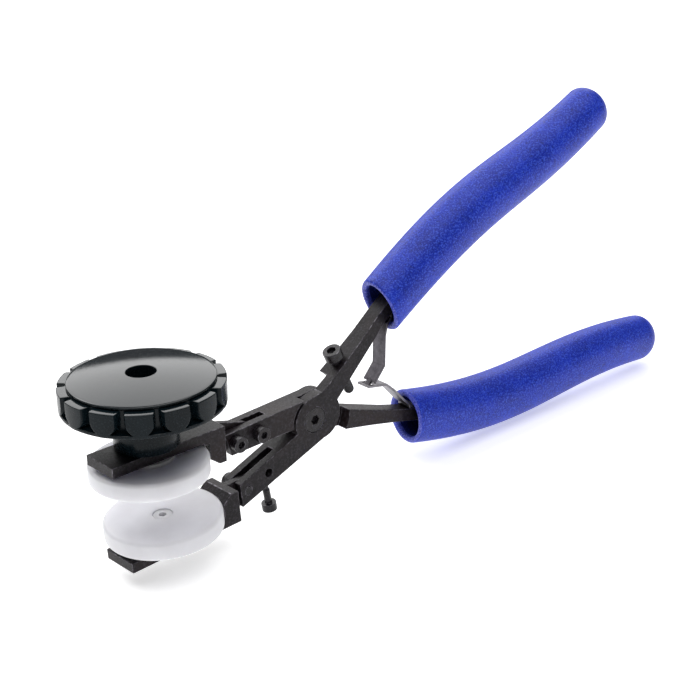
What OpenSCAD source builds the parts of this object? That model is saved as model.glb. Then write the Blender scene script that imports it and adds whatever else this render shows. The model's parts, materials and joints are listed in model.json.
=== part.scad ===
// Adjustable pad pliers: two half-lapped levers that close a pair of round pads, the upper one turned
// by a hand knob. The origin is the centre of the upper pad's face, +Z up, handles along +X.

/* [Levers] */
// Thickness of both levers, across the half-lap joint
lever_t = 7.2; // [6.6:0.1:7.8]
// Angle of the jaws' and handles' middle line above +X
middle_angle = 11.4; // [10.5:0.1:12.3]
// Radius of the half-lap ear around the pivot
ear_r = 7.1; // [6.8:0.1:7.3]
// Distance from the pivot to the inner end of the fork's slot
slot_end = 14.7; // [14:0.1:15.5]
// Length added to both handles
extra_reach = 0; // [-6:0.5:6]

/* [Brackets and pads] */
// Radius of both pads
pad_r = 16.5; // [15:0.5:16.5]
// Thickness of both pads
pad_t = 5.4; // [5:0.1:5.6]
// Width of both bracket plates
plate_w = 12; // [11:0.5:13]
// Thickness of both bracket plates
plate_t = 3; // [2.6:0.1:3.2]
// Distance from a bracket's front screw to its pad's axis
pad_offset = 26.8; // [26.5:0.1:27.5]
// Distance from the upper bracket's front screw to the outer face of its plate
upper_drop = 7.6; // [7.4:0.1:7.8]
// Distance from the lower bracket's front screw to the outer face of its plate
lower_drop = 6.6; // [6.5:0.1:6.9]
// Angle of the lower bracket from the upper one, front down
rest_tilt = 3.2; // [2.8:0.1:3.6]
// Thickness of the bracket tongues in their forks
tongue_t = 2.1; // [1.9:0.05:2.1]

/* [Hand knob] */
// Radius over the knob's lobes and base flange
knob_r = 22.5; // [21:0.5:24]
// Number of lobes around the knob
lobes = 14; // [12:1:16]
// Height of the knob's face rim above the plate
knob_h = 19.5; // [18:0.5:22]
// Radius of the hub under the knob
hub_r = 8.9; // [8:0.1:9.5]
// Radius of the hole in the middle of the face
knob_hole_r = 4.1; // [3.6:0.1:4.4]

/* [Grips] */
// Half-height of the grips at the mouth
grip_mouth = 8.3; // [8:0.1:8.6]
// Half-height of the grips at the middle
grip_middle = 8.6; // [8.2:0.1:9]
// Half-height of the grips near the end
grip_end = 7.4; // [6.8:0.1:7.8]
// Half-width of the grips as a share of their half-height
grip_flat = 0.93; // [0.9:0.01:1]
// Wall of the grips at the mouth
grip_wall = 1.9; // [1.6:0.1:2.2]

/* [Hidden] */

// colours
black_steel = [0.17, 0.16, 0.18];
screw_black = [0.09, 0.09, 0.10];
spring_grey = [0.55, 0.54, 0.52];
knob_black = [0.07, 0.09, 0.10];
nylon = [0.93, 0.93, 0.95];
grip_blue = [0.16, 0.20, 0.68];

// fits
turn_gap = 0.05;    // radial play of a part that turns
fixed_gap = 0.02;   // radial play of a part that is screwed or pressed in place
lap_gap = 0.1;      // play between the two lapped halves
slot_play = 0.1;    // play on each side of a tongue
ear_play = 0.8;     // play around each ear in the other lever's arm
lap_r = 13.3;       // radius of the half-lap recess in each handle

// arms and fork, in the frame of the middle line (x forward is negative, z is across)
half_t = lever_t / 2;
ear_back = 2.4;
arm_tip_outer = [-30.4, -12.1];
arm_tip_inner = [-29.6, -5.0];
arm_root_inner = [-6, -0.8];
front_hole = [-27.3, -8.15];
rear_hole = [-19.4, -6.8];
slot_w = tongue_t + 2 * slot_play;

// handle shank, and the control points of the curve that both the tang and the grip follow
shank_outer = [[24.4, 15.5], [19.3, 13.1], [10.5, 9.2], [3.2, 6.3]];
shank_inner = [[0, 0], [8, 1], [27.5, 12.4]];
stretch = [extra_reach, 0];
upper_handle = [[30.8, 18.4], [83.9, 40.5] + stretch / 2, [88.8, 29.9] + stretch, [132.9, 43.5] + stretch];
lower_handle = [[32.4, 18.7], [81.7, 42.3] + stretch / 2, [95.7, 30.9] + stretch, [142.3, 48.0] + stretch];
shank_half_w = 2.6;
shank_taper = [6, 30];    // where the shank narrows from the ear's thickness to its own
tang_share = 0.86;
tang_steps = 12;
tang_settle = 0.3;

// small screws
screw_r = 1.25;
head_r = 2.3;
head_h = 2.5;
socket_af = 2;
socket_depth = 1.3;
bore_fn = 48;

// pivot screw
pivot_head_r = 3.7;
pivot_head_h = 1.6;
pivot_r = 2.5;

// stop screw through the upper handle, in the middle-line frame
stop_head_top = [13.2, 15.2];
stop_lean = 12.2;
stop_length = 16.5;
stop_r = 1.5;
stop_head_r = 2.75;
stop_head_h = 2.9;
stop_af = 2.5;

// bracket outline, from the front screw
flange_rear = -5.2;
flange_foot = -3.0;
flange_toe = -7.6;
flange_waist = [-11.0, -0.4];
flange_top_x = -12.6;
plate_front = 42.2;
pad_clear = 0.7;
tongue_reach = 10.6;
tail_r = 2.0;
tail_lean = 8.6 - rest_tilt;
tilt_along = 8.1;
tilt_head_drop = 9.6;
tilt_r = 0.8;
tilt_shank_r = 1.05;    // below the tail, where it is clear of the thin tongue
tilt_shank_top = 5.2;
tilt_head_r = 2.15;

// pads, washers and spindle
pad_round = 1.0;
washer_r = 7.2;
pad_stack = 6.6;    // from the plate's inner face to the pad's working face
washer_t = pad_stack - pad_t;
spindle_r = 3;
pad_screw_r = 1.5;
pad_screw_head_r = 2.8;
pad_screw_head_h = 1.7;
screw_sink = 0.25;     // depth of a pad screw's head below the face
washer_play = 0.1;     // play between a washer and the piece that turns against it

// knob details
face_r = knob_r - 2.6;
face_dome = 1.65;
face_rim_t = 0.75;
groove = 0.2;
flange_t = 1.1;
flange_z = knob_h - 7.75;
flange_step = 0.4;
rim_bevel = 0.3;
dome_steps = 6;
core_r = knob_r - 2.7;
lobe_w = 7.6;
lobe_turn = 1.4;
lobe_h = knob_h - face_rim_t - groove - flange_z - flange_step;
hub_play = 0.1;
knob_hole_depth = 9;
knob_screw_l = 5.5;
knob_screw_head_r = 3.6;
knob_screw_head_h = 3;
knob_socket_af = 2.5;

// grips
grip_sides = 24;
mouth_start = 0.015;
mouth_slant = 0.012;
mouth_skew = 0.003;
grip_rings = 16;
cap_rings = 5;
cap_share = 0.955;
cavity_share = 0.9;
cavity_rings = 8;
cavity_start = 0.07;
cavity_neck = 0.26;
tight_h = 4.05;
tight_w = 4.3;

// leaf springs, in the pivot frame
leaf_t = 0.7;
leaf_w = 5;
leaf_eye_r = 0.9;
leaf_tab_w = 1.8;
upper_leaf = [[32.0, 22.5], [29.5, 20.6], [28.5, 16.8], [27.9, 7.8], [24.0, 3.5]];
upper_leaf_tab = [[24.4, 3.95], [22.95, 2.33]];
lower_leaf = [[38.2, -8.3], [35.4, -5.7], [31.6, -1.25], [28.6, 1.55], [25.0, 2.3], [21.5, 3.0]];
leaf_slot = [22.15, 25.3];
leaf_slot_w = 2.8;

// positions of the two front screws and of the pads, in the pivot frame
function turned(p, a) = [p[0] * cos(a) - p[1] * sin(a), p[0] * sin(a) + p[1] * cos(a)];
lower_front = turned(front_hole, middle_angle);
upper_front = turned([front_hole[0], -front_hole[1]], middle_angle);
upper_rear = turned([rear_hole[0], -rear_hole[1]], middle_angle);
upper_pad_x = upper_front[0] - pad_offset;
upper_plate_top = upper_front[1] + upper_drop;
upper_pad_z = upper_plate_top - plate_t - pad_stack;
spindle_top = pad_stack + plate_t + knob_h - knob_hole_depth - 0.2;    // above the pad's face

// The pivot axis in the part's own frame
module at_pivot() translate([-upper_pad_x, 0, -upper_pad_z]) children();

// The upper pad's frame: the origin at the centre of its working face, the plate above
module on_upper_pad() at_pivot() translate([upper_pad_x, 0, upper_pad_z]) children();

// The top of the upper plate on the pad's axis
module on_upper_plate() on_upper_pad() translate([0, 0, pad_stack + plate_t]) children();

// The lower bracket's frame: the origin on its front screw, +X along its plate
module on_lower_bracket() at_pivot() translate([lower_front[0], 0, lower_front[1]])
    rotate([0, -rest_tilt, 0]) children();

// The lower pad's frame: the origin at the centre of its working face, the plate below
module on_lower_pad() on_lower_bracket()
    translate([-pad_offset, 0, pad_stack + plate_t - lower_drop]) mirror([0, 0, 1]) children();

// The frame of the middle line between the handles
module on_middle() rotate([0, -middle_angle, 0]) children();

// An outline in the XZ plane, made solid from y0 to y1
module slab(y0, y1) translate([0, y1, 0]) rotate([90, 0, 0]) linear_extrude(y1 - y0) children();

// A cylinder along Y through a point of the XZ plane
module cross_rod(p, r, y0, y1) translate([p[0], y1, p[1]]) rotate([90, 0, 0])
    cylinder(h = y1 - y0, r = r, $fn = bore_fn);

// ---- handle curve ----
function bez(a, b, c, d, t) = pow(1 - t, 3) * a + 3 * pow(1 - t, 2) * t * b
    + 3 * (1 - t) * t * t * c + pow(t, 3) * d;
function handle_at(h, t) = bez(h[0], h[1], h[2], h[3], t);
function unit(v) = v / norm(v);
function handle_dir(h, t) = unit(handle_at(h, t + 0.01) - handle_at(h, t - 0.01));
function handle_normal(h, t) = let (d = handle_dir(h, t)) [-d[1], d[0]];
function settle(t) = min(1, t / tang_settle);
function tang_outer(t) = 0.5 + 1.6 * settle(t);
function tang_inner(t) = -3.3 + 1.2 * settle(t);
function tang_edge(h, t, off) = handle_at(h, t) + off * handle_normal(h, t);

// ---- levers ----
module ear_outline(r, drop) {
    circle(r = r, $fn = 96);
    translate([ear_back, drop]) circle(r = r, $fn = 96);
    polygon([[0, r], [0, -r], [ear_back, drop - r], [ear_back, drop + r]]);
}

module arm_outline() polygon([arm_tip_outer, arm_tip_inner, arm_root_inner, [0, 0], [1.5, -ear_r]]);

module handle_outline(h) {
    steps = [for (i = [0:tang_steps]) tang_share * i / tang_steps];
    inner = [for (t = steps) tang_edge(h, t, tang_inner(t))];
    outer = [for (i = [tang_steps:-1:0]) tang_edge(h, steps[i], tang_outer(steps[i]))];
    polygon(concat(shank_inner, inner, outer, shank_outer));
}

// Outline of a lever seen from its edge
module lever_plan() polygon([[-60, half_t], [shank_taper[0], half_t], [shank_taper[1], shank_half_w],
    [200, shank_half_w], [200, -shank_half_w], [shank_taper[1], -shank_half_w],
    [shank_taper[0], -half_t], [-60, -half_t]]);

// One lever, lying with its ear in the near half: jaw arm down, handle up
module lever_blank(h) intersection() {
    translate([0, 0, -100]) linear_extrude(200) lever_plan();
    difference() {
        union() {
            slab(-half_t, -lap_gap / 2) {
                ear_outline(ear_r, 0);
                arm_outline();
                handle_outline(h);
            }
            slab(-half_t, half_t) difference() {
                union() {
                    arm_outline();
                    handle_outline(h);
                }
                ear_outline(ear_r + ear_play, 0.2);
                intersection() {
                    circle(r = lap_r, $fn = 96);
                    translate([0, -lap_r]) square(2 * lap_r);
                }
            }
        }
        slab(-slot_w / 2, slot_w / 2) translate([-40 - slot_end, -20]) square([40, 40]);
        cross_rod(front_hole, screw_r + fixed_gap, -half_t - 1, half_t + 1);
        cross_rod(rear_hole, screw_r + fixed_gap, -half_t - 1, half_t + 1);
    }
}

// Seat for the rolled root of a leaf spring
module leaf_seat(p) cross_rod(p, leaf_eye_r + turn_gap, -half_t - 1, half_t + 1);

module lower_jaw_lever() color(black_steel) at_pivot() difference() {
    on_middle() difference() {
        lever_blank(upper_handle);
        cross_rod([0, 0], pivot_r + turn_gap, -half_t - 1, 1);
        cross_rod([0, 0], pivot_head_r + turn_gap, -half_t - 1, -half_t + pivot_head_h + turn_gap);
        stop_axis() translate([0, 0, -stop_length - 1])
            cylinder(h = stop_length, r = stop_r + turn_gap, $fn = bore_fn);
    }
    leaf_seat(upper_leaf[0]);
}

module upper_jaw_lever() color(black_steel) at_pivot() difference() {
    on_middle() difference() {
        rotate([180, 0, 0]) lever_blank(lower_handle);
        cross_rod([0, 0], pivot_r + fixed_gap, -1, half_t + 1);
    }
    leaf_seat(lower_leaf[0]);
}

// ---- screws ----
// A socket cap screw along -Z with its head above the origin
module cap_screw(r, length, h_r, h_h, af) difference() {
    union() {
        cylinder(h = h_h, r = h_r, $fn = bore_fn);
        translate([0, 0, -length]) cylinder(h = length, r = r, $fn = bore_fn);
    }
    translate([0, 0, h_h - socket_depth]) cylinder(h = socket_depth + 1, r = af / sqrt(3), $fn = 6);
}

module pivot_screw() color(screw_black) at_pivot() rotate([90, 0, 0]) difference() {
    union() {
        translate([0, 0, half_t - pivot_head_h]) cylinder(h = pivot_head_h - 0.1, r = pivot_head_r, $fn = 64);
        translate([0, 0, -half_t]) cylinder(h = lever_t - 0.5, r = pivot_r, $fn = bore_fn);
    }
    translate([0, 0, half_t - 1.4]) cylinder(h = 3, r = 2.5 / sqrt(3), $fn = 6);
}

// The stop screw's axis, with its origin at the top of the head and +Z out of the head
module stop_axis() translate([stop_head_top[0], 0, stop_head_top[1]]) rotate([0, -stop_lean, 0]) children();

module stop_screw() color(screw_black) at_pivot() on_middle() stop_axis() translate([0, 0, -stop_head_h]) {
    cap_screw(stop_r, stop_length - stop_head_h - stop_r, stop_head_r, stop_head_h, stop_af);
    translate([0, 0, stop_head_h + stop_r - stop_length]) sphere(r = stop_r, $fn = 32);
}

module cross_screw(p, length) translate([p[0], -half_t, p[1]]) rotate([90, 0, 0])
    cap_screw(screw_r, length, head_r, head_h, socket_af);

module upper_bracket_screw() color(screw_black) at_pivot() cross_screw(upper_front, lever_t);

module upper_lock_screw() color(screw_black) at_pivot() cross_screw(upper_rear, lever_t);

module lower_bracket_screw() color(screw_black) at_pivot() mirror([0, 1, 0])
    cross_screw(lower_front, lever_t);

// ---- brackets ----
// Plate and flange seen from the side, with the front screw at the origin and the plate on top
module bracket_outline(drop) polygon([[flange_rear, drop], [-plate_front, drop],
    [-plate_front, drop - plate_t], [flange_top_x, drop - plate_t], flange_waist,
    [flange_toe, flange_foot], [flange_rear, flange_foot]]);

module tongue_outline(reach, lean, drop) {
    top = turned([reach - tail_r, tail_r - 0.2], lean);
    bottom = turned([reach - tail_r, 0.2 - tail_r], lean);
    polygon([[flange_rear - 1, drop - 0.6], [4.8, 3.9], top, bottom, [0, flange_foot],
        [flange_rear - 1, flange_foot]]);
    translate(turned([reach - tail_r, 0], lean)) circle(r = tail_r, $fn = bore_fn);
}

module bracket(lean, drop) {
    difference() {
        slab(-plate_w / 2, plate_w / 2) bracket_outline(drop);
        translate([-pad_offset, 0, flange_foot - 5])
            cylinder(h = drop - plate_t - flange_foot + 4.4, r = pad_r + pad_clear, $fn = 96);
    }
    slab(-tongue_t / 2, tongue_t / 2) tongue_outline(tongue_reach, lean, drop);
}

module upper_bracket() color(black_steel) at_pivot() difference() {
    translate([upper_front[0], 0, upper_front[1]]) bracket(0, upper_drop);
    cross_rod(upper_front, screw_r + fixed_gap, -5, 5);
    cross_rod(upper_rear, screw_r + fixed_gap, -5, 5);
    translate([upper_pad_x, 0, 0]) cylinder(h = 30, r = spindle_r + turn_gap, $fn = 64);
}

// The tilt screw's axis in the lower bracket's tail, +Z up through the tail
module tilt_axis() on_lower_bracket() rotate([0, -tail_lean, 0]) translate([tilt_along, 0, 0]) children();

module lower_bracket() color(black_steel) difference() {
    on_lower_bracket() mirror([0, 0, 1]) bracket(-tail_lean, lower_drop);
    on_lower_bracket() cross_rod([0, 0], screw_r + turn_gap, -5, 5);
    tilt_axis() translate([0, 0, -4]) cylinder(h = 8, r = tilt_r + turn_gap, $fn = bore_fn);
    on_lower_pad() cylinder(h = pad_stack + plate_t + 1, r = pad_screw_r + fixed_gap, $fn = bore_fn);
}

module tilt_screw() color(screw_black) tilt_axis() translate([0, 0, -tilt_head_drop]) {
    rotate([180, 0, 0]) cap_screw(tilt_r, tilt_head_drop + 2.2, tilt_head_r, head_h, socket_af);
    cylinder(h = tilt_head_drop - tilt_shank_top, r = tilt_shank_r, $fn = bore_fn);
}

// ---- pads, washers and spindle ----
function arc(c, r, a0, a1, n) = [for (i = [0:n]) let (a = a0 + (a1 - a0) * i / n) c + r * [cos(a), sin(a)]];

// A round pad with its working face at z = 0 and its body above
module pad_body(bore_r) rotate_extrude($fn = 128) polygon(concat(
    [[bore_r, 0]], arc([pad_r - pad_round, pad_round], pad_round, -90, 0, 4),
    arc([pad_r - pad_round, pad_t - pad_round], pad_round, 0, 90, 4), [[bore_r, pad_t]]));

// Recess for a countersunk pad screw, its head sunk below the face
module pad_recess() {
    translate([0, 0, screw_sink]) cylinder(h = pad_screw_head_h, r1 = pad_screw_head_r + turn_gap,
        r2 = pad_screw_r + turn_gap, $fn = bore_fn);
    translate([0, 0, -1]) cylinder(h = 1 + screw_sink, r = pad_screw_head_r + turn_gap, $fn = bore_fn);
}

module pad() difference() {
    pad_body(pad_screw_r + turn_gap);
    pad_recess();
}

module upper_pad() color(nylon) on_upper_pad() pad();

module pad_washer(thick, bore_r) difference() {
    cylinder(h = thick, r = washer_r, $fn = 96);
    translate([0, 0, -1]) cylinder(h = thick + 2, r = bore_r, $fn = 64);
}

module upper_pad_washer() color(nylon) on_upper_pad() translate([0, 0, pad_t])
    pad_washer(washer_t - washer_play, spindle_r + fixed_gap);

module pad_screw(length) difference() {
    union() {
        translate([0, 0, screw_sink])
            cylinder(h = pad_screw_head_h, r1 = pad_screw_head_r, r2 = pad_screw_r, $fn = bore_fn);
        translate([0, 0, screw_sink + pad_screw_head_h])
            cylinder(h = length - screw_sink - pad_screw_head_h, r = pad_screw_r, $fn = bore_fn);
    }
    translate([0, 0, screw_sink - 1]) cylinder(h = 1 + socket_depth, r = socket_af / sqrt(3), $fn = 6);
}

module upper_pad_screw() color(nylon) on_upper_pad() pad_screw(pad_t + 6);

module spindle() color(spring_grey) on_upper_pad() difference() {
    translate([0, 0, pad_t]) cylinder(h = spindle_top - pad_t, r = spindle_r, $fn = 64);
    translate([0, 0, pad_t - 1]) cylinder(h = 7.2, r = pad_screw_r + fixed_gap, $fn = bore_fn);
    translate([0, 0, spindle_top - 6]) cylinder(h = 7, r = pad_screw_r + fixed_gap, $fn = bore_fn);
}

module lower_pad() color(nylon) on_lower_pad() pad();

module lower_pad_washer() color(nylon) on_lower_pad() translate([0, 0, pad_t + washer_play])
    pad_washer(washer_t - washer_play, pad_screw_r + fixed_gap);

module lower_pad_screw() color(nylon) on_lower_pad() pad_screw(pad_stack + plate_t);

// ---- hand knob ----
// Outline of the lobes, which stand out from the core all round
module lobe_outline() intersection() {
    circle(r = knob_r, $fn = 128);
    for (i = [0:lobes - 1]) rotate([0, 0, lobe_turn + i * 360 / lobes])
        translate([core_r - 2, -lobe_w / 2]) square([knob_r, lobe_w]);
}

// Outline of the domed face, from its rim to the axis
function dome_at(r) = [r, knob_h + face_dome * (1 - pow(r / face_r, 2))];
module knob_face() rotate_extrude($fn = 128) polygon(concat(
    [[0, knob_h - face_rim_t], [face_r, knob_h - face_rim_t], [face_r, knob_h - rim_bevel]],
    [for (i = [0:dome_steps]) dome_at((face_r - rim_bevel) * (1 - i / dome_steps))]));

module hand_knob() color(knob_black) on_upper_plate() difference() {
    union() {
        translate([0, 0, hub_play]) cylinder(h = knob_h - face_rim_t - hub_play, r = hub_r, $fn = 96);
        translate([0, 0, flange_z]) cylinder(h = flange_t, r = knob_r - rim_bevel, $fn = 128);
        translate([0, 0, flange_z + flange_step / 2])
            cylinder(h = knob_h - flange_z - face_rim_t, r = core_r, $fn = 128);
        translate([0, 0, flange_z + flange_step]) linear_extrude(lobe_h) lobe_outline();
        knob_face();
    }
    translate([0, 0, knob_h - knob_hole_depth]) cylinder(h = knob_hole_depth + 5, r = knob_hole_r, $fn = 64);
    translate([0, 0, -1]) cylinder(h = knob_h, r = spindle_r + fixed_gap, $fn = 64);
}

module knob_screw() color(screw_black) on_upper_plate() translate([0, 0, knob_h - knob_hole_depth])
    cap_screw(pad_screw_r, knob_screw_l, knob_screw_head_r, knob_screw_head_h, knob_socket_af);

// ---- leaf springs ----
function side(p, i) = let (d = unit(p[min(len(p) - 1, i + 1)] - p[max(0, i - 1)])) [-d[1], d[0]];
function mitre(p, i) = (i == 0 || i == len(p) - 1) ? 1 : 1 / max(0.5, side(p, i) * side([p[i - 1], p[i]], 0));

// A strip of even thickness along a path
module strip(p, t) polygon(concat(
    [for (i = [0:len(p) - 1]) p[i] + t / 2 * mitre(p, i) * side(p, i)],
    [for (i = [len(p) - 1:-1:0]) p[i] - t / 2 * mitre(p, i) * side(p, i)]));

// A leaf with its rolled root at the first point of its path
module leaf(p) {
    slab(-leaf_w / 2, leaf_w / 2) strip(p, leaf_t);
    cross_rod(p[0], leaf_eye_r, -leaf_w / 2, leaf_w / 2);
}

module upper_leaf_spring() color(spring_grey) at_pivot() {
    leaf(upper_leaf);
    slab(-leaf_tab_w / 2, leaf_tab_w / 2) strip(upper_leaf_tab, leaf_t);
}

module lower_leaf_spring() color(spring_grey) at_pivot() difference() {
    leaf(lower_leaf);
    slab(-leaf_slot_w / 2, leaf_slot_w / 2)
        translate([leaf_slot[0], 0]) square([leaf_slot[1] - leaf_slot[0], 5]);
}

// ---- grips ----
function grip_half(t) = grip_mouth * (1 - t) * (1 - 2 * t) + 4 * grip_middle * t * (1 - t)
    + grip_end * t * (2 * t - 1);
function narrowing(t) = min(1, max(0, (t - cavity_start) / (cavity_neck - cavity_start)));
function between(a, b, share) = a + (b - a) * share;
function cavity_half_h(t) = between(grip_mouth - grip_wall, tight_h, narrowing(t));
function cavity_half_w(t) = between(grip_flat * grip_mouth - grip_wall, tight_w, narrowing(t));
function slanted(t, a) = t + (mouth_start + mouth_slant * cos(a) + mouth_skew * sin(a)) * max(0, 1 - 4 * t);
function ring_point(h, u, high) = handle_at(h, u) + high * handle_normal(h, u);
function ring(h, t, high, wide) = [for (k = [0:grip_sides - 1])
    let (a = 360 * k / grip_sides, c = ring_point(h, slanted(t, a), high * cos(a)))
    [c[0], wide * sin(a), c[1]]];

function outer_ring(h, t, share) = ring(h, t, share * grip_half(t), share * grip_flat * grip_half(t));
function inner_ring(h, t) = ring(h, t, cavity_half_h(t), cavity_half_w(t));

// Faces between the rings whose first points are numbered a and b
function band(a, b) = [for (k = [0:grip_sides - 1]) let (m = (k + 1) % grip_sides)
    [a + m, b + m, b + k, a + k]];

// A closed tube around the handle's curve, open at its mouth
module grip(h) {
    body = [for (i = [0:grip_rings]) outer_ring(h, cap_share * i / grip_rings, 1)];
    cap = [for (j = [1:cap_rings]) let (a = 90 * j / (cap_rings + 0.6))
        outer_ring(h, cap_share + (1 - cap_share) * sin(a), cos(a))];
    cavity = [for (j = [cavity_rings:-1:0]) inner_ring(h, cavity_share * pow(j / cavity_rings, 1.6))];
    n = grip_sides;
    outer_n = len(body) + len(cap);
    rings_n = outer_n + len(cavity);
    steps = [for (i = [0:rings_n - 2]) if (i != outer_n - 1) i];
    tip = [for (k = [0:n - 1]) (outer_n - 1) * n + k];
    floor_face = [for (k = [n - 1:-1:0]) outer_n * n + k];
    polyhedron(points = [for (r = concat(body, cap, cavity)) each r],
        faces = concat([for (i = steps) each band(i * n, (i + 1) * n)], band((rings_n - 1) * n, 0),
            [tip, floor_face]));
}

module upper_grip() color(grip_blue) at_pivot() on_middle() grip(upper_handle);

module lower_grip() color(grip_blue) at_pivot() on_middle() mirror([0, 0, 1]) grip(lower_handle);

upper_jaw_lever();
lower_jaw_lever();
pivot_screw();
upper_grip();
lower_grip();
upper_leaf_spring();
lower_leaf_spring();
stop_screw();
upper_bracket();
lower_bracket();
upper_bracket_screw();
upper_lock_screw();
lower_bracket_screw();
tilt_screw();
hand_knob();
knob_screw();
spindle();
upper_pad_washer();
upper_pad();
upper_pad_screw();
lower_pad_washer();
lower_pad();
lower_pad_screw();
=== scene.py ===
"""Adjustable round-pad pliers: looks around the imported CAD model."""

import json
from math import cos, pi, radians, sin

import bmesh
import bpy
from mathutils import Matrix, Vector


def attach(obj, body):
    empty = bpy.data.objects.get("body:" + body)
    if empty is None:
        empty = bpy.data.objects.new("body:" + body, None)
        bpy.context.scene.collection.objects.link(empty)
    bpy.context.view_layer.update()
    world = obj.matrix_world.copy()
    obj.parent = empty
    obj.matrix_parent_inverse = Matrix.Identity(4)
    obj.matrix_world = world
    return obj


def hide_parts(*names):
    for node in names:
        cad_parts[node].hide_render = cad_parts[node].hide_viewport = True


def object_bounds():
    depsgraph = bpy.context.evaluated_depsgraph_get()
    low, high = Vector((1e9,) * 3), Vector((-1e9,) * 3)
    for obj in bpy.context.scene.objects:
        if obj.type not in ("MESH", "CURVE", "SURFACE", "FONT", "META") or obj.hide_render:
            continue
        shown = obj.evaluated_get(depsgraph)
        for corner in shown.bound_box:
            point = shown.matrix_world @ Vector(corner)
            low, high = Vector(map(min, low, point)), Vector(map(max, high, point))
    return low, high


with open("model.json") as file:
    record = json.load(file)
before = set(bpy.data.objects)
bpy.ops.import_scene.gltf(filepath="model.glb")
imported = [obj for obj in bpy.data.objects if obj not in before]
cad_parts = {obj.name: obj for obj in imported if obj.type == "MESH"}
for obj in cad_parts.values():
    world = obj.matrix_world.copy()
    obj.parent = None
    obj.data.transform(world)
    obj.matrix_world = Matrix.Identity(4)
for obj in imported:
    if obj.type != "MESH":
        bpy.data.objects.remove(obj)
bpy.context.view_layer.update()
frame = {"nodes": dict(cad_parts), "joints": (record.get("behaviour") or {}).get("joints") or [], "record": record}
nodes = frame["nodes"]
joints = {j["name"]: j for j in frame["joints"]}
body_of_node = {n: b for b, ns in frame["record"]["behaviour"]["bodies"].items() for n in ns}
MM = 0.001


# ---- materials ----
def srgb(r, g, b):
    """A colour given as it looks on a screen, 0 to 255, as linear values."""
    out = []
    for c in (r, g, b):
        c /= 255
        out.append(c / 12.92 if c <= 0.04045 else ((c + 0.055) / 1.055) ** 2.4)
    return (*out, 1.0)


class Nodes:
    """A small helper around one material's node tree."""

    def __init__(self, name):
        self.mat = bpy.data.materials.new(name)
        self.mat.use_nodes = True
        self.tree = self.mat.node_tree
        self.shader = self.tree.nodes["Principled BSDF"]
        self.coord = self.tree.nodes.new("ShaderNodeTexCoord")

    def set(self, **values):
        for key, value in values.items():
            self.shader.inputs[key.replace("_", " ")].default_value = value
        return self

    def link(self, out, key):
        self.tree.links.new(out, self.shader.inputs[key] if isinstance(key, str) else key)

    def noise(self, scale, detail=3.0, rough=0.55, stretch=(1, 1, 1)):
        """Noise over the object's own coordinates, in metres. scale is features per metre."""
        mapping = self.tree.nodes.new("ShaderNodeMapping")
        mapping.inputs["Scale"].default_value = stretch
        self.tree.links.new(self.coord.outputs["Object"], mapping.inputs["Vector"])
        n = self.tree.nodes.new("ShaderNodeTexNoise")
        n.inputs["Scale"].default_value = scale
        n.inputs["Detail"].default_value = detail
        n.inputs["Roughness"].default_value = rough
        self.tree.links.new(mapping.outputs["Vector"], n.inputs["Vector"])
        return n.outputs["Fac"]

    def ramp(self, fac, stops):
        n = self.tree.nodes.new("ShaderNodeValToRGB")
        n.color_ramp.elements[0].position, n.color_ramp.elements[0].color = stops[0]
        n.color_ramp.elements[1].position, n.color_ramp.elements[1].color = stops[-1]
        for pos, colour in stops[1:-1]:
            n.color_ramp.elements.new(pos).color = colour
        self.tree.links.new(fac, n.inputs["Fac"])
        return n.outputs["Color"]

    def mix(self, fac, a, b):
        n = self.tree.nodes.new("ShaderNodeMix")
        n.data_type = "RGBA"
        self.tree.links.new(fac, n.inputs["Factor"])
        for value, socket in ((a, n.inputs["A"]), (b, n.inputs["B"])):
            if isinstance(value, tuple):
                socket.default_value = value
            else:
                self.tree.links.new(value, socket)
        return n.outputs["Result"]

    def span(self, fac, low, high):
        """A noise value, mapped to run from low to high."""
        n = self.tree.nodes.new("ShaderNodeMapRange")
        n.inputs["From Min"].default_value = 0.3
        n.inputs["From Max"].default_value = 0.7
        n.inputs["To Min"].default_value = low
        n.inputs["To Max"].default_value = high
        self.tree.links.new(fac, n.inputs["Value"])
        return n.outputs["Result"]

    def bump(self, *layers):
        """Bump layers as (noise value, depth in metres)."""
        below = None
        for fac, depth in layers:
            n = self.tree.nodes.new("ShaderNodeBump")
            n.inputs["Distance"].default_value = depth
            n.inputs["Strength"].default_value = 1.0
            self.tree.links.new(fac, n.inputs["Height"])
            if below is not None:
                self.tree.links.new(below, n.inputs["Normal"])
            below = n.outputs["Normal"]
        self.link(below, "Normal")


def grey(v):
    return (v, v, v, 1.0)


def oxide_steel(name, dark, light, rough, specular):
    """Black-oxide steel: dark, slightly violet and brown, mottled, with fine grain."""
    m = Nodes(name).set(Metallic=0.0, Specular_IOR_Level=specular, IOR=1.6)
    patches, tint = m.noise(230, 5, 0.62), m.noise(75, 3)
    grain, pits = m.noise(2100, 3, 0.7), m.noise(1300, 4, 0.75)
    base = m.mix(m.span(patches, 0, 1), dark, light)
    base = m.mix(m.ramp(tint, [(0.45, grey(0.0)), (0.7, grey(0.5))]), base, srgb(42, 30, 29))
    m.link(m.mix(m.ramp(pits, [(0.48, grey(0.0)), (0.68, grey(0.7))]), base, srgb(60, 57, 63)), "Base Color")
    m.link(m.span(grain, rough - 0.1, rough + 0.14), "Roughness")
    m.bump((patches, 0.00005), (pits, 0.00004), (grain, 0.00003))
    return m.mat


def worn_and_highlit_edge(name, dark, light):
    """The narrow broken edge of a black part. It is lighter partly where the finish is worn thin and partly as a
    painted highlight along the edge.
    """
    m = Nodes(name).set(Metallic=0.6, IOR=1.6)
    wear_and_highlight, grain = m.noise(520, 5, 0.7), m.noise(3000, 2)
    # The colour runs from dark to light grey. The lighter grey is partly worn-thin finish and partly a painted
    # edge highlight.
    m.link(m.ramp(wear_and_highlight, [(0.46, dark), (0.66, light)]), "Base Color")
    m.link(m.span(grain, 0.3, 0.46), "Roughness")
    m.bump((grain, 0.00001))
    return m.mat


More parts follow.
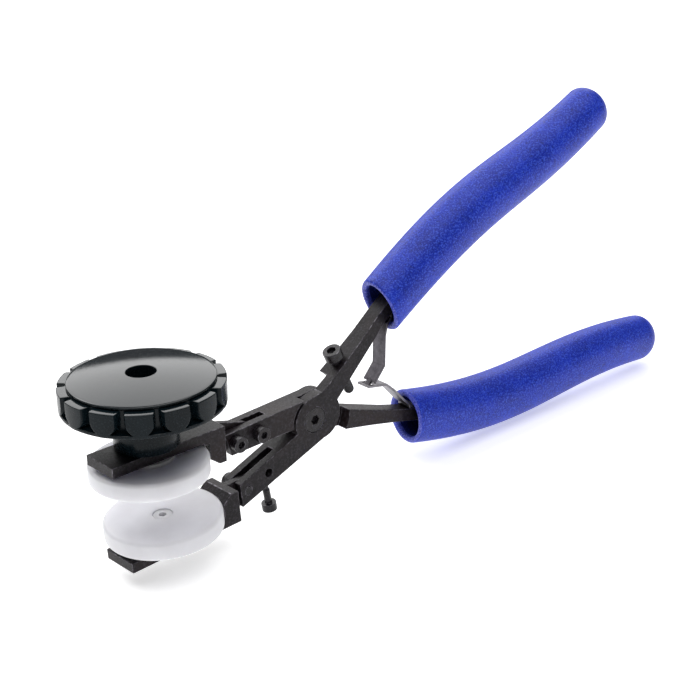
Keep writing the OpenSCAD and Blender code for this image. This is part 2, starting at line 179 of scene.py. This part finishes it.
def spring_steel(name, dark, light):
    """Plain grey spring steel with rolling streaks and darker patches."""
    m = Nodes(name).set(Metallic=0.9, IOR=1.6)
    streaks, patches = m.noise(900, 3, 0.6, (1, 6, 1)), m.noise(420, 4, 0.65)
    m.link(m.mix(m.span(patches, 0, 1), dark, light), "Base Color")
    m.link(m.span(streaks, 0.3, 0.52), "Roughness")
    m.bump((streaks, 0.00002), (patches, 0.00002))
    return m.mat


def knob_plastic(name, specular, low, high):
    """Glossy black moulded plastic with a faint teal cast and fine dust."""
    m = Nodes(name).set(Specular_IOR_Level=specular)
    flow, dust = m.noise(90, 3), m.noise(1900, 4, 0.75)
    base = m.mix(m.span(flow, 0, 1), srgb(6, 14, 18), srgb(12, 23, 28))
    m.link(m.mix(m.ramp(dust, [(0.52, grey(0.0)), (0.72, grey(0.2))]), base, srgb(64, 74, 82)), "Base Color")
    m.link(m.span(dust, low, high), "Roughness")
    m.bump((flow, 0.00002), (dust, 0.000006))
    return m.mat


def white_nylon(name):
    """Turned white nylon, slightly translucent, with a faint clouding and fine marks."""
    m = Nodes(name).set(Subsurface_Weight=0.6, Subsurface_Scale=0.005, IOR=1.53, Specular_IOR_Level=0.35)
    m.shader.inputs["Subsurface Radius"].default_value = (1.0, 1.0, 1.05)
    cloud, fine = m.noise(110, 3), m.noise(2200, 2)
    m.link(m.mix(m.span(cloud, 0, 1), srgb(219, 218, 222), srgb(227, 227, 231)), "Base Color")
    m.link(m.span(fine, 0.34, 0.5), "Roughness")
    m.bump((cloud, 0.00002), (fine, 0.000008))
    return m.mat


def blue_vinyl(name, dark, light, fleck):
    """Blue sleeve with fine lighter and darker flecks and a grainy skin."""
    m = Nodes(name).set(Specular_IOR_Level=0.3)
    patches, flecks, pores = m.noise(110, 3), m.noise(2000, 3, 0.8), m.noise(1300, 3, 0.7)
    base = m.mix(m.span(patches, 0, 1), dark, light)
    base = m.mix(m.ramp(pores, [(0.34, grey(0.75)), (0.5, grey(0.0))]), base, srgb(8, 20, 92))
    m.link(m.mix(m.ramp(flecks, [(0.49, grey(0.0)), (0.6, grey(1.0))]), base, fleck), "Base Color")
    m.link(m.span(flecks, 0.34, 0.55), "Roughness")
    m.bump((patches, 0.0002), (pores, 0.00008), (flecks, 0.00005))
    return m.mat


steel = oxide_steel("oxide_steel", srgb(8, 6, 8), srgb(30, 25, 29), 0.38, 0.13)
# The bevelled edges of the black steel are lighter, partly as worn finish and partly as a painted edge highlight.
steel_worn_highlit_edge = worn_and_highlit_edge("oxide_steel_edge", srgb(34, 31, 36), srgb(118, 114, 122))
screw = oxide_steel("screw_black", srgb(10, 9, 12), srgb(26, 24, 28), 0.28, 0.2)
# The bevelled edges of the black screws are lighter, partly as worn finish and partly as a painted edge highlight.
screw_worn_highlit_edge = worn_and_highlit_edge("screw_worn_highlit_edge", srgb(34, 32, 37), srgb(120, 118, 124))
upper_spring = spring_steel("spring_steel", srgb(66, 63, 68), srgb(98, 95, 100))
lower_spring = spring_steel("spring_steel_light", srgb(104, 101, 106), srgb(142, 139, 143))
plastic = knob_plastic("knob_plastic", 0.42, 0.08, 0.13)
plastic_wall = knob_plastic("knob_plastic_wall", 0.14, 0.2, 0.32)
nylon = white_nylon("nylon")
vinyl = blue_vinyl("grip_vinyl", srgb(10, 34, 150), srgb(22, 50, 184), srgb(58, 86, 208))
# Painted highlight: a lighter, lavender copy of the sleeve's blue for the rounded lip at the mouth.
lip_highlight_vinyl = blue_vinyl("grip_vinyl_lip", srgb(40, 54, 168), srgb(72, 84, 196), srgb(112, 120, 216))
# Painted shade: a darker copy of the sleeve's blue for the inside of the mouth, where shade falls.
inside_shade_vinyl = blue_vinyl("grip_vinyl_inside", srgb(10, 18, 74), srgb(18, 30, 104), srgb(46, 58, 140))


# ---- pieces ----
def add_piece(name, mesh, node):
    """Shows a mesh in the row frame in place of a CAD node, on that node's body."""
    obj = bpy.data.objects.new(name, mesh)
    bpy.context.scene.collection.objects.link(obj)
    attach(obj, body_of_node[node])
    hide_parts(node)
    return obj


def bevelled(node, materials, width, segments=3, crease=30):
    """A CAD node's shape with its sharp edges broken, the broken edges in the second material."""
    mesh = nodes[node].data.copy()
    mesh.name = node + "_mesh"
    if "custom_normal" in mesh.attributes:
        mesh.attributes.remove(mesh.attributes["custom_normal"])
    mesh.materials.clear()
    for material in materials:
        mesh.materials.append(material)
    bm = bmesh.new()
    bm.from_mesh(mesh)
    bmesh.ops.remove_doubles(bm, verts=bm.verts, dist=3e-6)
    bmesh.ops.dissolve_limit(bm, angle_limit=radians(0.5), verts=bm.verts, edges=bm.edges)
    bmesh.ops.recalc_face_normals(bm, faces=bm.faces)
    for face in bm.faces:
        face.smooth = True
        face.material_index = 0
    bm.to_mesh(mesh)
    bm.free()
    mesh.set_sharp_from_angle(angle=radians(crease))
    obj = add_piece(node + "_look", mesh, node)
    bevel = obj.modifiers.new("bevel", "BEVEL")
    bevel.width = width * MM
    bevel.segments = segments
    bevel.limit_method = "ANGLE"
    bevel.angle_limit = radians(crease)
    bevel.use_clamp_overlap = False
    bevel.harden_normals = True
    bevel.material = len(materials) - 1


def smooth_mesh(bm, name, material):
    """A smooth-shaded mesh made from bm, which is freed."""
    bmesh.ops.recalc_face_normals(bm, faces=bm.faces)
    for face in bm.faces:
        face.smooth = True
    mesh = bpy.data.meshes.new(name)
    bm.to_mesh(mesh)
    bm.free()
    mesh.materials.append(material)
    return mesh


def arc(cx, cz, r, a0, a1, n):
    """Points on an arc round (cx, cz), from a0 to a1 degrees in n steps."""
    angles = [radians(a0 + (a1 - a0) * i / n) for i in range(n + 1)]
    return [(cx + r * cos(a), cz + r * sin(a)) for a in angles]


def lathe(name, profile, material, place, sides=128):
    """A closed profile of (radius, height) in millimetres, turned around the height axis."""
    bm = bmesh.new()
    angles = [2 * pi * k / sides for k in range(sides)]
    rings = [
        [bm.verts.new(place @ Vector((r * cos(a), r * sin(a), z))) for a in angles]
        for r, z in [(r * MM, z * MM) for r, z in profile]
    ]
    for i in range(len(rings)):
        a, b = rings[i], rings[(i + 1) % len(rings)]
        for k in range(sides):
            m = (k + 1) % sides
            bm.faces.new((a[k], a[m], b[m], b[k]))
    return smooth_mesh(bm, name, material)


def axis_frame(origin, up):
    """The matrix of a frame at origin with its Z along up."""
    z = Vector(up).normalized()
    x = Vector((0, 1, 0)).cross(z).normalized()
    return Matrix.Translation(Vector(origin)) @ Matrix((x, z.cross(x), z)).transposed().to_4x4()


# ---- grips ----
PIVOT = Vector(joints["handle_pivot"]["pos_m"])
MIDDLE = radians(11.4)
UPPER_HANDLE = [(30.8, 18.4), (83.9, 40.5), (88.8, 29.9), (132.9, 43.5)]
LOWER_HANDLE = [(32.4, 18.7), (81.7, 42.3), (95.7, 30.9), (142.3, 48.0)]
GRIP_MOUTH, GRIP_MIDDLE, GRIP_END = 8.3, 8.6, 7.4
GRIP_FLAT, GRIP_WALL, GRIP_CAP = 0.93, 1.9, 0.955
MOUTH_START, MOUTH_SLANT, MOUTH_SKEW = 0.015, 0.012, 0.003
TIGHT_HIGH, TIGHT_WIDE = 4.05, 4.3
NARROW_FROM, NARROW_SPAN = 0.07, 0.19
LIP_LENGTH, LIP_END = 0.0055, 0.012
INSIDE_CAD = 0.998


def handle_at(h, t):
    """The point at share t of a handle's Bezier curve."""
    w = ((1 - t) ** 3, 3 * t * (1 - t) ** 2, 3 * t * t * (1 - t), t**3)
    return Vector((sum(c * p[0] for c, p in zip(w, h)), sum(c * p[1] for c, p in zip(w, h))))


def handle_normal(h, t):
    """The direction square to a handle's curve at share t."""
    d = (handle_at(h, t + 0.01) - handle_at(h, t - 0.01)).normalized()
    return Vector((-d.y, d.x))


def grip_half(t):
    """The sleeve's half height at share t, through its values at the mouth, middle and end."""
    return GRIP_MOUTH * (1 - t) * (1 - 2 * t) + 4 * GRIP_MIDDLE * t * (1 - t) + GRIP_END * t * (2 * t - 1)


def mouth_slant(t, a):
    """How far the slanted mouth moves a point, at angle a round the sleeve, along it."""
    return (MOUTH_START + MOUTH_SLANT * cos(a) + MOUTH_SKEW * sin(a)) * max(0, 1 - 4 * t)


def grip(node, h, side, sides=64):
    """A sleeve around the handle's curve, with a rounded lip at its slanted mouth. The lip is a lighter blue as a
    painted highlight, and the inside is a darker blue as painted shade.
    """
    reach = 0.975 * (1 - GRIP_CAP)
    bm = bmesh.new()

    def ring(t, high, wide, shift=0.0):
        made = []
        for k in range(sides):
            a = 2 * pi * k / sides
            u = t + mouth_slant(t, a) + shift
            p = handle_at(h, u) + INSIDE_CAD * high * cos(a) * handle_normal(h, u)
            x, z = p.x, side * p.y
            along = x * cos(MIDDLE) - z * sin(MIDDLE)
            upward = x * sin(MIDDLE) + z * cos(MIDDLE)
            made.append(bm.verts.new(PIVOT + MM * Vector((along, INSIDE_CAD * wide * sin(a), upward))))
        return made

    def outer(t, share=1.0):
        return ring(t, share * grip_half(t), share * GRIP_FLAT * grip_half(t))

    rings = []
    steps = 44
    open_high, open_wide = GRIP_MOUTH - GRIP_WALL, GRIP_FLAT * GRIP_MOUTH - GRIP_WALL
    cavity = [0.9, 0.7, 0.5, 0.36, 0.26, 0.18, 0.12, 0.07, 0.035, 0.012]
    for t in cavity:
        s = min(1, max(0, (t - NARROW_FROM) / NARROW_SPAN))
        high = open_high + (TIGHT_HIGH - open_high) * s
        wide = open_wide + (TIGHT_WIDE - open_wide) * s
        rings.append(ring(t, high, wide))
    inside_bands = len(rings) - 1
    lip = 11
    for i in range(lip):
        a = pi * i / (lip - 1)
        inset = GRIP_WALL / 2 * (1 + cos(a))
        rings.append(ring(0.0, GRIP_MOUTH - inset, GRIP_FLAT * GRIP_MOUTH - inset, LIP_LENGTH * (1 - sin(a))))
    rings += [outer(LIP_END + (GRIP_CAP - LIP_END) * i / steps) for i in range(steps + 1)]
    for j in range(1, 11):
        a = radians(90 * j / 10.4)
        rings.append(outer(GRIP_CAP + reach * sin(a), cos(a)))
    for i, (a, b) in enumerate(zip(rings, rings[1:])):
        for k in range(sides):
            m = (k + 1) % sides
            face = bm.faces.new((a[k], a[m], b[m], b[k]))
            # The inside bands and the closed end of the cavity get the darker blue as painted shade. The lip bands
            # get the lighter blue as painted highlight, and the rest gets the plain sleeve blue.
            face.material_index = 2 if i < inside_bands else 1 if i < inside_bands + lip - 2 else 0
    bm.faces.new(rings[0]).material_index = 2
    bm.faces.new(rings[-1])
    mesh = smooth_mesh(bm, node + "_mesh", vinyl)
    mesh.materials.append(lip_highlight_vinyl)
    mesh.materials.append(inside_shade_vinyl)
    add_piece(node + "_look", mesh, node)


grip("upper_grip", UPPER_HANDLE, 1)
grip("lower_grip", LOWER_HANDLE, -1)


# ---- pads ----
def pad(node, place):
    """A turned pad, its working face at 0 and its body above, with a sunk seat for its screw."""
    r, t, edge = 16.5, 5.4, 1.15
    profile = [(1.55, 1.95), (2.85, 0.25), (2.86, 0.14)]
    profile += arc(3.0, 0.14, 0.14, 180, 270, 3)
    profile += [(6.0, 0.0), (10.0, 0.0), (13.5, 0.0)]
    profile += arc(r - edge, edge, edge, -90, 0, 8)
    profile += arc(r - edge, t - edge, edge, 0, 90, 8)
    profile += [(13.0, t), (9.0, t), (5.0, t), (1.55, t)]
    obj = add_piece(node + "_look", lathe(node + "_mesh", profile, nylon, place), node)
    obj.data.set_sharp_from_angle(angle=radians(40))


pad("upper_pad", Matrix.Identity(4))
lower_turn = joints["lower_pad_turn"]
pad("lower_pad", axis_frame(lower_turn["pos_m"], [-c for c in lower_turn["axis"]]))
bevelled("upper_pad_washer", [nylon], 0.15, 2)
bevelled("lower_pad_washer", [nylon], 0.15, 2)
bevelled("upper_pad_screw", [nylon], 0.1, 2)
bevelled("lower_pad_screw", [nylon], 0.1, 2)

# ---- metal and knob ----
for node, width in (
    ("upper_jaw_lever", 0.2),
    ("lower_jaw_lever", 0.2),
    ("upper_bracket", 0.2),
    ("lower_bracket", 0.2),
):
    bevelled(node, [steel, steel_worn_highlit_edge], width)
for node, width in (
    ("stop_screw", 0.2),
    ("upper_bracket_screw", 0.18),
    ("upper_lock_screw", 0.18),
    ("lower_bracket_screw", 0.18),
    ("tilt_screw", 0.18),
    ("knob_screw", 0.15),
):
    bevelled(node, [screw, screw_worn_highlit_edge], width, 2)
bevelled("pivot_screw", [screw], 0.12, 2)
bevelled("upper_leaf_spring", [upper_spring], 0.1, 2)
bevelled("lower_leaf_spring", [lower_spring], 0.1, 2)
bevelled("spindle", [lower_spring], 0.12, 2)


# ---- hand knob ----
def lobe_share(along, z, half_w=3.95, bottom=11.95, top=19.6, soft=0.5):
    """How far a point of the knob's wall stands out: 1 on a lobe, 0 in a pocket.

    A lobe's lower end is round, and its top has small corners.
    """
    middle, half_h = (bottom + top) / 2, (top - bottom) / 2
    corner = 3.9 if z < middle else 0.3
    dx, dz = abs(along) - half_w + corner, abs(z - middle) - half_h + corner
    d = Vector((max(dx, 0), max(dz, 0))).length + min(max(dx, dz), 0) - corner
    share = min(1, max(0, 0.5 - d / (2 * soft)))
    return share * share * (3 - 2 * share)


def hand_knob(per_lobe=40, lobes=14, first_lobe=1.4, base=9.6):
    """The knob's rings, from the bore outwards and up to the face.

    Each row is a radius, a height and how much a lobe lifts the ring there.
    """
    core, outer, flange, hub, hole, bore = 19.8, 22.45, 22.3, 8.9, 4.1, 3.02
    rim, face, rise, lobe_r = 19.5, 19.9, 1.65, 22
    rows = [(bore, 0.1, 0), (5.5, 0.1, 0), (hub - 0.25, 0.1, 0)]
    rows += [(hub, 0.35, 0), (hub, 4, 0), (hub, 9.6, 0)]
    rows += [(r, z, 0) for r, z in arc(hub + 1.5, 10.15, 1.5, 180, 90, 6)]
    rows += [(13, 11.67, 0), (17, 11.71, 0), (21, 11.75, 0)]
    rows += [(r, z, 1) for r, z in arc(flange - 0.35, 12.1, 0.35, -90, 0, 4)]
    rows += [(r, z, 1) for r, z in arc(flange - 0.22, 12.5, 0.22, 0, 80, 4)]
    rows += [(flange - 0.22 - (flange - 0.22 - core) * i / 5, 12.73 + 0.03 * i, 1) for i in range(1, 5)]
    rows += [(core, 12.9 + (18.3 - 12.9) * i / 24, 1) for i in range(25)]
    rows += [(core, 18.42, 0.985), (core, 18.5, 0.94), (core, 18.53, 0.85), (core, 18.56, 0.0)]
    rows += [(core, 18.7, 0), (core - 0.5, 18.74, 0), (core - 0.5, 18.86, 0), (face - 0.12, 18.88, 0)]
    rows += [(face, 18.98, 0), (face, rim - 0.16, 0), (face - 0.05, rim - 0.05, 0)]
    spots = (face - 0.2, 19, 17.5, 16, 14, 12, 10, 8, 6.3, 5.2, hole + 0.3, hole + 0.18)
    rows += [(r, rim + rise * (1 - (r / face) ** 2), 0) for r in spots]
    rows += [(hole + 0.05, 21.02, 0), (hole, 20.9, 0), (hole, 20.4, 0)]
    rows += [(hole, 15, 0), (hole, 10.5, 0), (bore, 10.48, 0)]
    sides = per_lobe * lobes
    bm = bmesh.new()
    rings = []
    for r, z, lift in rows:
        ring = []
        for k in range(sides):
            within = ((k / per_lobe + 0.5) % 1 - 0.5) * 2 * pi * lobe_r / lobes
            out = r + (outer - r) * lift * lobe_share(within, z) if lift else r
            a = 2 * pi * k / sides + radians(first_lobe)
            ring.append(bm.verts.new((out * cos(a) * MM, out * sin(a) * MM, (z + base) * MM)))
        rings.append(ring)
    for a, b in zip(rings, rings[1:] + rings[:1]):
        for k in range(sides):
            m = (k + 1) % sides
            bm.faces.new((a[k], a[m], b[m], b[k]))
    mesh = smooth_mesh(bm, "hand_knob_mesh", plastic)
    mesh.materials.append(plastic_wall)
    for face in mesh.polygons:
        face.material_index = 0 if face.normal.z > 0.6 else 1
    mesh.set_sharp_from_angle(angle=radians(50))
    add_piece("hand_knob_look", mesh, "hand_knob")


hand_knob()

# ---- stage ----
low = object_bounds()[0]
floor_bm = bmesh.new()
bmesh.ops.create_grid(floor_bm, x_segments=1, y_segments=1, size=6)
floor_mesh = bpy.data.meshes.new("floor")
floor_bm.to_mesh(floor_mesh)
floor_bm.free()
floor = bpy.data.objects.new("floor", floor_mesh)
floor.location = (0.08, 0, low.z - 0.001)
bpy.context.scene.collection.objects.link(floor)
paper = Nodes("paper").set(Roughness=0.9, Specular_IOR_Level=0.1)
paper.set(Emission_Color=grey(1.0), Emission_Strength=0.5)
paper.link(paper.mix(paper.span(paper.noise(40, 2), 0, 1), grey(0.9), grey(0.93)), "Base Color")
floor_mesh.materials.append(paper.mat)


def softbox(name, place, aim, size, watts):
    """A rectangular area light at place, pointed at aim."""
    light = bpy.data.lights.new(name, "AREA")
    light.shape = "RECTANGLE"
    light.size, light.size_y = size
    light.energy = watts
    obj = bpy.data.objects.new(name, light)
    obj.location = place
    obj.rotation_mode = "QUATERNION"
    obj.rotation_quaternion = (Vector(aim) - Vector(place)).to_track_quat("-Z", "Y")
    bpy.context.scene.collection.objects.link(obj)


softbox("softbox_top", (0.05, -0.1, 1.0), (0.06, 0, 0), (1.3, 1.3), 11)
softbox("softbox_back", (0.73, 1.1, 0.86), (0.0, 0, 0.02), (1.9, 1.0), 15)
softbox("softbox_back_left", (-0.22, 0.86, 0.82), (0.06, 0, 0), (0.9, 0.6), 4)

world = bpy.data.worlds.new("studio")
world.use_nodes = True
world.node_tree.nodes["Background"].inputs["Color"].default_value = (0.97, 0.98, 1.0, 1.0)
world.node_tree.nodes["Background"].inputs["Strength"].default_value = 0.11
bpy.context.scene.world = world
bpy.context.scene.view_settings.view_transform = "Standard"

# ---- camera ----
AZIMUTH, ELEVATION, ROLL = radians(-40.35), radians(22.75), radians(-2.18)
CAMERA_PLACE = (-0.24926, -0.37833, 0.22302)
right = Vector((cos(AZIMUTH), sin(AZIMUTH), 0))
back = Vector((sin(AZIMUTH) * cos(ELEVATION), -cos(AZIMUTH) * cos(ELEVATION), sin(ELEVATION)))
up = back.cross(right)
camera_x = cos(ROLL) * right + sin(ROLL) * up
camera_y = back.cross(camera_x)
camera = bpy.data.cameras.new("camera")
camera.lens, camera.sensor_width = 96.0, 36.0
camera.clip_start, camera.clip_end = 0.01, 50
camera_obj = bpy.data.objects.new("camera", camera)
camera_obj.rotation_mode = "QUATERNION"
camera_obj.rotation_quaternion = Matrix((camera_x, camera_y, back)).transposed().to_quaternion()
camera_obj.location = CAMERA_PLACE
bpy.context.scene.collection.objects.link(camera_obj)
bpy.context.scene.camera = camera_obj
